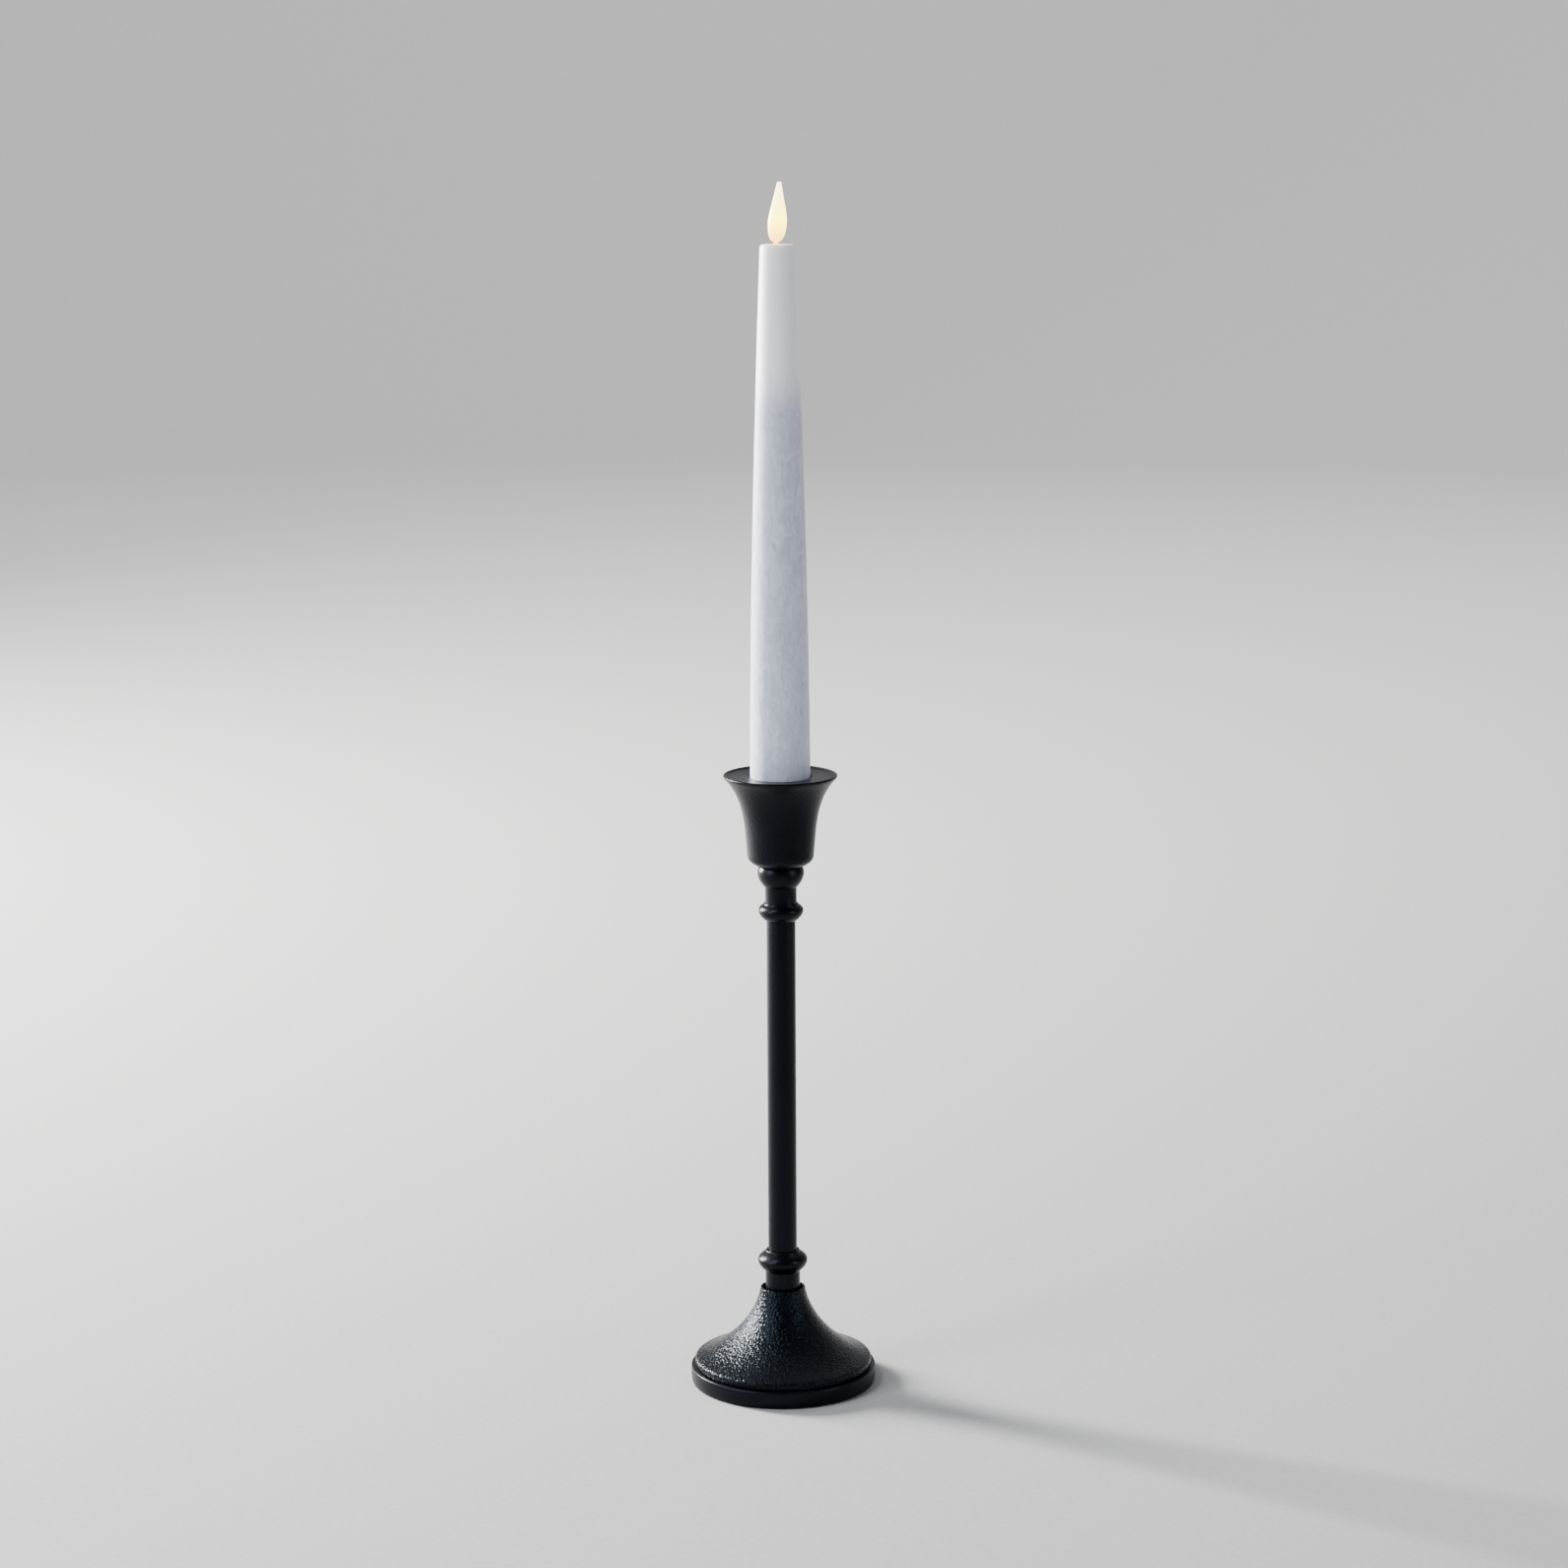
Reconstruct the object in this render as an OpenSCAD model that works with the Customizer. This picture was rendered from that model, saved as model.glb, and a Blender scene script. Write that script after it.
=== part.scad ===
// Flameless LED taper candle standing in a turned metal candlestick.
// Millimetres. +Z is up, the origin is the middle of the underside, and every round part shares the Z axis.
// The candlestick is a stack of turned pieces on one tie rod. The candle lifts out of the cup,
// and its taper pulls up off the battery tray, which carries two cells in line and the slide switch.

/* [Candlestick] */
// Height from the table to the top of the cup rim
stick_h = 231; // [205:1:260]
// Largest radius of the round foot
foot_r = 34.5; // [34:0.5:40]
// Height of the top of the foot plate
plate_top = 6.5; // [6.5:0.5:8]
// Height of the open rim of the base bell
bell_top = 36.4; // [34:0.2:42]
// Outer radius of the stem tube
stem_r = 5.35; // [5:0.05:5.5]
// Radius of the cup rim
rim_r = 20.9; // [19:0.1:24]
// Depth of the socket that holds the candle
socket_depth = 24.5; // [20:0.5:26]

/* [Candle] */
// Radius of the candle at its foot
candle_r = 11; // [10.8:0.1:11.2]
// Radius of the candle at its top
tip_r = 6.35; // [6.3:0.05:6.8]
// Height of the candle that shows above the cup rim
shown_h = 191.5; // [185:0.5:230]
// How fast the taper narrows towards the top: 1 is a straight cone
taper_power = 1.6; // [1.4:0.1:1.8]

/* [Flame] */
// Height of the flame above the top of the candle
flame_h = 22; // [21:0.2:26]
// Largest radius of the flame
flame_r = 3.62; // [3.4:0.02:4.2]
// Lean of the flame to the right, in degrees
flame_lean = 3.2; // [0:0.2:4]

/* [Cells] */
// Diameter of one cell
cell_d = 10.4; // [10:0.1:10.5]
// Length of one cell with its raised end
cell_len = 44.5; // [43:0.5:45]

/* [Hidden] */
$fn = 96;

// Clearances
fit = 0.05;       // between pieces that are pushed or screwed together
slip = 0.1;       // between the tray and the tube that slides over it
socket_gap = 0.3; // between the candle and the cup socket

// Foot
felt_t = 1;
felt_r = foot_r - 2.5;
plate_foot = 0.25; // the felt is let into the plate and stands this much proud of it
hub_r = 12;
hub_top = plate_top + 2.5;
nut_recess_r = 9;
nut_recess_top = hub_top - 3;
groove_r = foot_r - 2.5; // where the bell stands on the plate
shoulder_r = foot_r - 1.5;

// Stack heights
neck_seat = bell_top - 3;
lower_bead_z = bell_top + 10.6;
lower_collar_top = bell_top + 14.4;
tube_foot = lower_collar_top - 4.5;
cup_foot = stick_h - 34;
knop_foot = stick_h - 41.9;
upper_collar_foot = stick_h - 54.4;
tube_head = upper_collar_foot + 4.4;
lower_neck_r = 6.45;
upper_neck_r = 5.85;
tube_wall = 1.2;

// Tie rod
rod_r = 2.95;
rod_foot = felt_t + 0.5;
rod_head = cup_foot + 6.6;
rod_hole_r = 3.1;
washer_t = 1;
washer_r = 6.5;
nut_h = 3.2;
nut_flats = 10;

// Candle heights
cup_floor = stick_h - socket_depth;
candle_foot = cup_floor + 0.1;
candle_top = stick_h + shown_h;
flange_top = candle_foot + 5;
taper_foot = flange_top + 0.1;
wax_t = 1.4;
core_wall = 1;
cap_top = candle_top - 1.5; // top of the core tube under the wax
cap_t = 1.2;

// Battery tray
tray_r = 7;
cell_r = cell_d / 2;
trough_r = cell_r + 0.25;
tray_lip_y = -1.6; // the trough is open in front of this plane, so that the cells snap in
flange_r = candle_r - 0.1;
cover_r = 9.6;
cover_t = 1.2;
cover_foot = candle_foot + 1;
cover_top = cover_foot + cover_t;
switch_size = [8.6, 3.7, 3.5];
switch_pocket_h = switch_size.z + 0.2;
trough_foot = cover_top + switch_pocket_h + 1.5;
contact_t = 0.3;
spring_h = 6;
cells_foot = trough_foot + contact_t + spring_h;
cells_top = cells_foot + 2 * cell_len;
trough_top = cells_top + contact_t;
tray_top = trough_top + 2;
pad_top = tray_top + contact_t;
strip_w = 3;
feed_x = 3.6;

// Slide switch
knob_travel = 4;
knob_stem = 1.8;
knob_x = -knob_travel / 2;
slot_size = [knob_travel + knob_stem + 0.6, knob_stem + 0.6];
screw_x = 7.8;
screw_r = 0.75;
screw_head_r = 1.5;

// Driver board and its carrier, above the tray
carrier_foot = tray_top + 4.5;
carrier_r = tray_r + slip - 0.03;
carrier_disc_t = 2.5;
baffle_foot = candle_top - 57.5;
baffle_t = 2.5;
baffle_r = 5.7;
board_w = 9.2;
board_t = 1;
board_foot = carrier_foot + carrier_disc_t + 0.5;
board_top = baffle_foot - 5;
rail_w = 1.3;
rail_d = 3;
pin_offset = 3.9;
board_turn = 90; // the board stands in the plane of the strip on the back of the tray

// Flame, lamp and socket
neck_x = -0.6; // the flame leans, so its neck stands a little off the axis
neck_r = 0.75;
neck_foot = candle_top - 3;
socket_r = 1.35;
flame_tip_r = 1;
lamp_r = 1.3;
lamp_flange_r = 1.55;
lamp_z = 4; // foot of the lamp above the top of the candle
lamp_h = 5;
lead_w = 0.3;
lead_x = 0.24;
splay_x = 0.6;
lead_hole_r = 0.45;
lead_foot = candle_top - 9;
wire_r = 0.42;

// Points on a cubic curve
function curve(a, b, c, d, n = 14) = [for (i = [0:n]) let (t = i / n, s = 1 - t)
  s * s * s * a + 3 * s * s * t * b + 3 * s * t * t * c + t * t * t * d];

// A turned bead from [r, z] start to end, swelling to r_mid at z_mid
function bead(start, r_mid, z_mid, end, n = 8) = concat(
  [for (i = [0:n]) let (u = 1 - i / n)
    [r_mid - (r_mid - start[0]) * u * u, z_mid - (z_mid - start[1]) * u]],
  [for (i = [1:n]) let (u = i / n)
    [r_mid - (r_mid - end[0]) * u * u, z_mid + (end[1] - z_mid) * u]]);

// Outer radius of the wax at height z
function wax_r(z) = z <= stick_h ? candle_r :
  candle_r - (candle_r - tip_r) * pow((z - stick_h) / shown_h, taper_power);

// Outer and inner radius of the core tube at height z
core_bend = carrier_foot + 4;
function core_r(z) = z >= core_bend ? wax_r(z) - wax_t :
  let (top_r = wax_r(core_bend) - wax_t, t = (z - taper_foot) / (core_bend - taper_foot))
  (candle_r - 2) * (1 - t) + top_r * t;
function bore_r(z) = z >= core_bend ? core_r(z) - core_wall : tray_r + slip;

// Turns a closed [r, z] outline round the axis
module lathe(points) {
  rotate_extrude() polygon(points);
}

// Straight tube or solid rod between two heights
module rod(r, z0, z1) {
  translate([0, 0, z0]) cylinder(r = r, h = z1 - z0);
}

// A round wire that follows a list of points
module wire(path, r, sides = 8) {
  n = len(path);
  function way(i) = let (v = path[min(i + 1, n - 1)] - path[max(i - 1, 0)]) v / norm(v);
  function side(i) = let (v = cross(way(i), abs(way(i).z) > 0.9 ? [0, 1, 0] : [0, 0, 1])) v / norm(v);
  function ring(i) = let (u = side(i), v = cross(way(i), u))
    [for (k = [0:sides - 1]) path[i] + r * (cos(360 * k / sides) * u + sin(360 * k / sides) * v)];
  points = [for (i = [0:n - 1]) each ring(i)];
  skin = [for (i = [0:n - 2], k = [0:sides - 1])
    let (a = i * sides + k, b = i * sides + (k + 1) % sides) each [[a, a + sides, b], [b, a + sides, b + sides]]];
  ends = [[for (k = [0:sides - 1]) k], [for (k = [sides - 1:-1:0]) (n - 1) * sides + k]];
  polyhedron(points = points, faces = concat(skin, ends));
}

// ---- Candlestick ----

module felt_pad() {
  color("#17181a") rod(felt_r, 0, felt_t);
}

module foot_plate() {
  color("#141519") difference() {
    lathe([
      [0, plate_foot], [foot_r - 0.8, plate_foot], [foot_r - 0.35, plate_foot + 0.25],
      [foot_r - 0.1, plate_foot + 0.9], [foot_r, plate_foot + 1.8], [foot_r, plate_top - 0.8],
      [foot_r - 0.1, plate_top - 0.35], [foot_r - 0.35, plate_top - 0.1], [foot_r - 0.8, plate_top],
      [hub_r, plate_top], [hub_r, hub_top], [0, hub_top]
    ]);
    rod(felt_r + 0.1, 0, felt_t);
    rod(nut_recess_r, felt_t - 1, nut_recess_top);
    rod(rod_hole_r, 0, hub_top + 1);
  }
}

module base_bell() {
  lip_r = 8.4;
  flare_foot = plate_top + 3.1;
  outside = curve([lip_r, bell_top - 0.3], [lip_r + 1.2, bell_top - 9.4],
                  [18.6, flare_foot + 4.9], [shoulder_r - 0.6, flare_foot], 22);
  inside = curve([6.5, neck_seat - 3.4], [8, neck_seat - 10], [17.6, plate_top + 6.2],
                 [groove_r - 1.8, plate_top]);
  color("#15161a") difference() {
    lathe(concat(
      [[0, bell_top], [lip_r - 0.3, bell_top]], outside,
      [[shoulder_r - 0.15, flare_foot - 0.4], [shoulder_r, flare_foot - 0.9], [shoulder_r, plate_top + 0.75],
       [shoulder_r - 0.2, plate_top + 0.45], [groove_r, plate_top + 0.4], [groove_r, plate_top], [0, plate_top]]));
    lathe(concat([[0, neck_seat - 3.4]], inside, [[groove_r - 1.8, plate_top - 1], [0, plate_top - 1]]));
    rod(lip_r - 0.9, neck_seat, bell_top + 1);
    rod(rod_hole_r, plate_top, bell_top);
  }
}

module lower_collar() {
  color("#15161a") difference() {
    lathe(concat(
      [[0, neck_seat], [lower_neck_r, neck_seat], [lower_neck_r, lower_bead_z - 4.2]],
      bead([lower_neck_r + 0.15, lower_bead_z - 4.1], 9.25, lower_bead_z, [6.75, lower_bead_z + 2.9]),
      [[6.5, lower_bead_z + 2.9], [6.45, lower_bead_z + 3.1], [6.25, lower_collar_top - 0.3],
       [5.95, lower_collar_top], [0, lower_collar_top]]));
    rod(rod_hole_r, 0, stick_h);
    rod(stem_r + fit, tube_foot, stick_h);
  }
}

module stem_tube() {
  color("#16171b") difference() {
    rod(stem_r, tube_foot, tube_head);
    rod(stem_r - tube_wall, tube_foot - 1, tube_head + 1);
  }
}

module upper_collar() {
  bead_z = stick_h - 50.5;
  bead_top = stick_h - 48.4;
  color("#15161a") difference() {
    lathe(concat(
      [[0, upper_collar_foot]],
      bead([5.7, upper_collar_foot], 8.3, bead_z, [6.6, bead_top]),
      [[6.45, bead_top - 0.05], [6.4, bead_top + 0.25], [6.15, bead_top + 0.6], [upper_neck_r, bead_top + 0.7],
       [upper_neck_r, knop_foot], [0, knop_foot]]));
    rod(rod_hole_r, 0, stick_h);
    rod(stem_r + fit, 0, tube_head);
  }
}

module cup_knop() {
  color("#15161a") difference() {
    lathe(concat(
      [[0, knop_foot]],
      bead([upper_neck_r + 0.1, knop_foot], 8.6, stick_h - 36.4, [7.9, cup_foot]),
      [[0, cup_foot]]));
    rod(rod_hole_r, 0, stick_h);
  }
}

module candle_cup() {
  pan_z = stick_h - 0.5;
  hole_r = candle_r + socket_gap;
  flare = curve([12.2, cup_foot + 3.5], [13.2, cup_foot + 14], [13, cup_foot + 25],
                [rim_r - 0.3, stick_h - 1.1], 22);
  color("#15161a") difference() {
    lathe(concat(
      [[0, cup_foot], [7.9, cup_foot], [9.6, cup_foot + 0.65], [11, cup_foot + 1.5], [11.8, cup_foot + 2.3]],
      flare,
      [[rim_r - 0.05, stick_h - 0.75], [rim_r, stick_h - 0.5], [rim_r - 0.1, stick_h - 0.15],
       [rim_r - 0.4, stick_h], [rim_r - 0.75, stick_h - 0.1], [rim_r - 1.2, pan_z],
       [hole_r + 0.6, pan_z], [0, pan_z]]));
    rod(hole_r, cup_floor, stick_h + 1);
    lathe([[0, pan_z - 0.6], [hole_r, pan_z - 0.6], [hole_r + 0.6, pan_z], [hole_r + 0.6, pan_z + 1],
           [0, pan_z + 1]]);
    rod(rod_r + fit, cup_foot - 1, rod_head + 0.2);
  }
}

module tie_rod() {
  chamfer = 0.6;
  color("#8c8f94") lathe([
    [0, rod_foot], [rod_r - chamfer, rod_foot], [rod_r, rod_foot + chamfer], [rod_r, rod_head - chamfer],
    [rod_r - chamfer, rod_head], [0, rod_head]
  ]);
}

module tie_nut() {
  nut_top = nut_recess_top - washer_t;
  color("#9a9da2") difference() {
    translate([0, 0, nut_top - nut_h]) cylinder(d = nut_flats / cos(30), h = nut_h, $fn = 6);
    rod(rod_r + fit, 0, hub_top);
  }
}

module tie_washer() {
  color("#a3a6ab") difference() {
    rod(washer_r, nut_recess_top - washer_t, nut_recess_top);
    rod(rod_hole_r, 0, hub_top);
  }
}

// ---- Battery tray, which stands in the cup ----

module battery_tray() {
  color("#e8e8e4") difference() {
    union() {
      rod(flange_r, candle_foot, flange_top);
      rod(tray_r, flange_top, tray_top);
    }
    rod(cover_r + fit, candle_foot - 1, cover_top);
    switch_pocket();
    for (side = [-1, 1]) translate([side * screw_x, 0, 0]) rod(screw_r, cover_foot, flange_top - 0.6);
    rod(trough_r, trough_foot, trough_top);
    translate([-candle_r, -2 * candle_r + tray_lip_y, trough_foot])
      cube([2 * candle_r, 2 * candle_r, trough_top - trough_foot]);
    strip_groove();
    rod(1.1, trough_top - 1, tray_top + 1);
    feed_hole();
  }
}

module switch_pocket() {
  size = switch_size + [0.2, 0.3, 0];
  translate([-size.x / 2, -size.y / 2, cover_top - 1]) cube([size.x, size.y, switch_pocket_h + 1]);
}

// Groove down the back of the tray, and the channel that takes the strip's foot to the switch
module strip_groove() {
  width = strip_w + 0.2;
  translate([-width / 2, tray_r - 0.6, flange_top]) cube([width, 2, tray_top - flange_top + 1]);
  translate([-width / 2, tray_r - 0.6, cover_top]) cube([width, 0.4, flange_top - cover_top + 1]);
  translate([-width / 2, 1, cover_top - 1]) cube([width, tray_r - 1.2, 1.6]);
}

// Passage from the switch pocket to the spring plate and the strip groove
module feed_hole() {
  translate([feed_x, 0, 0]) rod(0.5, cover_top, trough_foot + 1);
}

module switch_plate() {
  color("#dededa") difference() {
    rod(cover_r, cover_foot, cover_top);
    translate([-slot_size.x / 2, -slot_size.y / 2, cover_foot - 1]) cube([slot_size.x, slot_size.y, cover_t + 2]);
    for (side = [-1, 1]) translate([side * screw_x, 0, 0]) rod(screw_r + 0.1, cover_foot - 1, cover_top + 1);
  }
}

module plate_screws() {
  head_foot = cover_foot - 0.8;
  color("#b4b6ba") for (side = [-1, 1]) translate([side * screw_x, 0, 0]) difference() {
    union() {
      rod(screw_r - fit, cover_foot - 0.1, flange_top - 0.8);
      lathe([[0, cover_foot], [screw_head_r, cover_foot], [screw_head_r, head_foot + 0.3],
             [screw_head_r - 0.4, head_foot], [0, head_foot]]);
    }
    for (turn = [0, 90]) rotate(turn)
      translate([-0.9, -0.18, head_foot - 1]) cube([1.8, 0.36, 1.45]);
  }
}

module switch_body() {
  color("#9da0a6") translate([-switch_size.x / 2, -switch_size.y / 2, cover_top]) cube(switch_size);
}

module switch_knob() {
  knob_foot = candle_foot + 0.3;
  cap_size = [3, 2.2, 0.6];
  color("#1a1a1c") translate([knob_x, 0, 0]) union() {
    translate([-knob_stem / 2, -knob_stem / 2, knob_foot])
      cube([knob_stem, knob_stem, cover_top - fit - knob_foot]);
    translate([-cap_size.x / 2, -cap_size.y / 2, knob_foot]) cube(cap_size);
  }
}

module negative_plate() {
  color("#c9ccd0") union() {
    rod(trough_r - 0.3, trough_foot, trough_foot + contact_t);
    translate([feed_x, 0, 0]) rod(0.4, cover_top + switch_size.z + 0.05, trough_foot + 0.1);
  }
}

// Conical coil, wide at the plate and narrow at the cell
module negative_spring() {
  turns = 4;
  steps = 56;
  wire_d = 0.6;
  path = [for (i = [0:steps]) let (t = i / steps, a = 360 * turns * t, r = 4 - 1.5 * t)
    [r * cos(a), r * sin(a), trough_foot + contact_t + wire_d / 2 + (spring_h - wire_d) * t]];
  color("#c2c5ca") wire(path, wire_d / 2 - 0.02);
}

module cell(foot) {
  nub_r = 1.9;
  nub_h = 0.9;
  body_top = foot + cell_len - nub_h;
  color("#3f5a4a") lathe([
    [0, foot + 0.1], [cell_r - 1.3, foot + 0.1], [cell_r - 1.1, foot], [cell_r - 0.3, foot],
    [cell_r, foot + 0.4], [cell_r, body_top - 0.5], [cell_r - 0.3, body_top - 0.15],
    [cell_r - 0.9, body_top], [nub_r + 0.2, body_top], [nub_r, body_top + 0.1],
    [nub_r, body_top + nub_h - 0.2], [nub_r - 0.2, body_top + nub_h], [0, body_top + nub_h]
  ]);
}

module lower_cell() {
  cell(cells_foot);
}

module upper_cell() {
  cell(cells_foot + cell_len);
}

module positive_contact() {
  color("#c9ccd0") union() {
    rod(trough_r - 0.6, cells_top, trough_top);
    rod(1.1 - fit, cells_top, pad_top);
    rod(2, tray_top, pad_top);
  }
}

// Strip that brings the switched side of the cells from the switch to the top of the tray
module return_strip() {
  strip_y = tray_r - 0.55;
  foot_z = cover_top + 0.1;
  tab = 3.6;
  color("#c9ccd0") union() {
    translate([-strip_w / 2, strip_y, foot_z]) cube([strip_w, contact_t, pad_top - foot_z]);
    translate([-strip_w / 2, strip_y - tab, tray_top]) cube([strip_w, tab + 0.2, contact_t]);
    translate([-strip_w / 2, switch_size.y / 2 + 0.05, foot_z])
      cube([strip_w, strip_y - switch_size.y / 2, contact_t]);
  }
}

// ---- Taper, which pulls up off the tray ----

module wax_shell() {
  n = 28;
  inner_top = cap_top + fit;
  shoulder = 1.3;
  edge = candle_top - shoulder;
  color("#f2f1ee") difference() {
    lathe(concat(
      [[0, taper_foot]],
      [[candle_r, taper_foot]],
      [for (i = [0:n]) let (z = stick_h + (edge - stick_h) * i / n) [wax_r(z), z]],
      [for (a = [20:14:90]) [wax_r(edge) - shoulder * (1 - cos(a)) - 0.02, edge + shoulder * sin(a)]],
      [[0, candle_top]]));
    lathe(concat(
      [[0, taper_foot - 1], [core_r(taper_foot) + fit, taper_foot - 1]],
      [for (z = core_heights()) [core_r(z) + fit, z]],
      [[core_r(cap_top) + fit, inner_top], [0, inner_top]]));
    translate([neck_x, 0, 0]) rod(socket_r + 0.1, cap_top - 1, candle_top + 1);
  }
}

// Heights at which the core tube's outline has a point
function core_heights() = concat(
  [taper_foot, core_bend], [for (i = [1:20]) core_bend + (cap_top - core_bend) * i / 20]);

module core_tube() {
  cap_foot = cap_top - cap_t;
  heights = core_heights();
  color("#e9e7e2") difference() {
    lathe(concat([[0, taper_foot]], [for (z = heights) [core_r(z), z]], [[0, cap_top]]));
    lathe(concat(
      [[0, taper_foot - 1], [bore_r(taper_foot), taper_foot - 1], [bore_r(taper_foot), core_bend - 0.01]],
      [for (z = heights) if (z >= core_bend && z < cap_foot) [bore_r(z), z]],
      [[bore_r(cap_foot), cap_foot], [0, cap_foot]]));
    translate([neck_x, 0, 0]) rod(socket_r + fit, cap_foot - 1, cap_top + 1);
  }
}

module board_carrier() {
  groove_x = board_w / 2 + 0.1;
  rail_foot = carrier_foot + carrier_disc_t - 0.1;
  color("#cfcfca") rotate(board_turn) difference() {
    union() {
      rod(carrier_r, carrier_foot, carrier_foot + carrier_disc_t);
      for (side = [-1, 1]) translate([side * (groove_x + 0.35) - rail_w / 2, -rail_d / 2, rail_foot])
        cube([rail_w, rail_d, baffle_foot + 0.1 - rail_foot]);
      rod(baffle_r, baffle_foot, baffle_foot + baffle_t);
    }
    translate([-groove_x, -board_t / 2 - fit, board_foot - 0.1])
      cube([2 * groove_x, board_t + 2 * fit, board_top - board_foot + 0.2]);
    for (x = [0, pin_offset]) translate([x, 0, 0]) rod(0.8 + fit, carrier_foot - 1, board_foot + 1);
    rod(1.9, baffle_foot - 1, baffle_foot + baffle_t + 1);
  }
}

module driver_board() {
  color("#2f6b45") rotate(board_turn) translate([-board_w / 2, -board_t / 2, board_foot])
    cube([board_w, board_t, board_top - board_foot]);
}

// Potted controller chip on the front of the board
module chip_blob() {
  ball_r = 5.2;
  color("#141416") rotate(board_turn) intersection() {
    translate([0, ball_r - board_t / 2 - 1.3, board_foot + 15]) sphere(r = ball_r);
    translate([-6, -board_t / 2 - 3, board_foot]) cube([12, 3, 30]);
  }
}

module quartz_crystal() {
  color("#c3c6ca") rotate(board_turn) translate([-2.4, -board_t / 2 - 1, board_foot + 23]) cylinder(r = 1, h = 6);
}

module board_capacitor() {
  color("#23262e") rotate(board_turn) translate([0, board_t / 2 + 2, board_foot + 22]) cylinder(r = 2, h = 7);
}

module chip_resistors() {
  color("#2a2a2d") rotate(board_turn) for (place = [[1.2, 24], [1.2, 28], [-1.6, 6]])
    translate([place.x, -board_t / 2 - 0.55, board_foot + place.y]) cube([2, 0.55, 1.25]);
}

// Sprung pick-up pin: a barrel held in the carrier and a plunger resting on the tray's contact
module pickup_pin(x) {
  color("#c8b36a") rotate(board_turn) translate([x, 0, 0]) union() {
    rod(0.8, carrier_foot - 2, board_foot - 0.15);
    rod(0.5, pad_top + 0.02, carrier_foot);
  }
}

module positive_pin() {
  pickup_pin(0);
}

module negative_pin() {
  pickup_pin(pin_offset);
}

// Insulated wire from the board to one lead of the lamp
module lamp_wire(side) {
  board_x = board_t / 2 + wire_r + 0.02;
  wire([
    [board_x, side * 2, board_top - 4], [board_x, side * 2, board_top - 1],
    [board_x - 0.1, side * 1.7, board_top + 2], [0.5, side * 1.2, baffle_foot - 1],
    [0.2, side * 1, baffle_foot + 2], [0.1, side * 1, baffle_foot + 8],
    [side * 0.5, side * 0.9, baffle_foot + 18], [side * 0.9, side * 0.6, baffle_foot + 28],
    [neck_x + side * 0.9, side * 0.2, lead_foot - 9], [neck_x + side * splay_x, 0, lead_foot - 2],
    [neck_x + side * splay_x, 0, lead_foot - 0.02]
  ], wire_r);
}

module positive_wire() {
  color("#b3262a") lamp_wire(1);
}

module negative_wire() {
  color("#1d1d20") lamp_wire(-1);
}

// Black ferrule in the top of the core tube that grips the neck of the flame
module flame_socket() {
  cap_foot = cap_top - cap_t;
  flange_foot = cap_foot - 1.4;
  top = candle_top - 0.3;
  color("#121212") translate([neck_x, 0, 0]) difference() {
    lathe([
      [0, flange_foot - 4], [2, flange_foot - 4], [2, flange_foot], [2.9, flange_foot],
      [2.9, cap_foot - fit], [socket_r, cap_foot - fit], [socket_r, top - 0.15], [socket_r - 0.15, top], [0, top]
    ]);
    rod(neck_r + fit, neck_foot - fit, candle_top);
    rod(1.1, flange_foot - 5, neck_foot);
  }
}

// Places a piece on the leaning axis of the flame, with the top of the candle at height 0
module on_flame() {
  translate([neck_x, 0, candle_top]) rotate([0, flame_lean, 0]) children();
}

// Lamp bead with its two leads, which splay out under the neck
module led_lamp() {
  dome_z = lamp_z + lamp_h - lamp_r;
  color("#f6e3b0") union() {
    on_flame() {
      lathe([
        [0, lamp_z], [lamp_flange_r, lamp_z], [lamp_flange_r, lamp_z + 0.8], [lamp_r, lamp_z + 0.8],
        for (a = [0:15:75]) [lamp_r * cos(a), dome_z + lamp_r * sin(a)],
        [0, dome_z + lamp_r]
      ]);
      for (side = [-1, 1]) translate([side * lead_x - lead_w / 2, -lead_w / 2, 0])
        cube([lead_w, lead_w, lamp_z + 0.3]);
    }
    translate([neck_x, -lead_w / 2, 0]) for (side = [0, 1]) mirror([side, 0, 0]) {
      translate([lead_x - lead_w / 2, 0, neck_foot - 0.5]) cube([lead_w, lead_w, candle_top - neck_foot + 0.6]);
      translate([lead_x - lead_w / 2, 0, neck_foot - 0.6]) cube([splay_x - lead_x + lead_w, lead_w, lead_w]);
      translate([splay_x - lead_w / 2, 0, lead_foot]) cube([lead_w, lead_w, neck_foot - 0.4 - lead_foot]);
    }
  }
}

module flame_lens() {
  belly_z = 0.355 * flame_h;
  tip_z = flame_h - flame_tip_r;
  foot = neck_r - 0.12;
  lower = curve([foot, 0], [1.6, 0.3], [flame_r, 0.36 * belly_z], [flame_r, belly_z], 10);
  upper = curve([flame_r, belly_z], [flame_r, belly_z + 2.6], [2, tip_z - 5.6], [flame_tip_r, tip_z - 0.1], 10);
  tip = [for (a = [20:20:80]) [flame_tip_r * cos(a), tip_z + flame_tip_r * sin(a)]];
  color("#ffe9b8") difference() {
    union() {
      on_flame() lathe(concat([[0, -0.3], [foot, -0.3]], lower, [for (i = [1:10]) upper[i]], tip, [[0, flame_h]]));
      translate([neck_x, 0, 0]) rod(neck_r, neck_foot, candle_top);
    }
    on_flame() lathe([
      [0, -0.2], [lead_hole_r + 0.06, -0.2], [lead_hole_r + 0.06, lamp_z - fit],
      [lamp_flange_r + fit, lamp_z - fit], [lamp_flange_r + fit, lamp_z + 0.8 + fit],
      [lamp_r + fit, lamp_z + 0.8 + fit],
      for (a = [0:15:75]) [(lamp_r + fit) * cos(a), lamp_z + lamp_h - lamp_r + (lamp_r + fit) * sin(a)],
      [0, lamp_z + lamp_h + fit]
    ]);
    translate([neck_x, 0, 0]) rod(lead_hole_r, neck_foot - 1, candle_top);
  }
}

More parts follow.
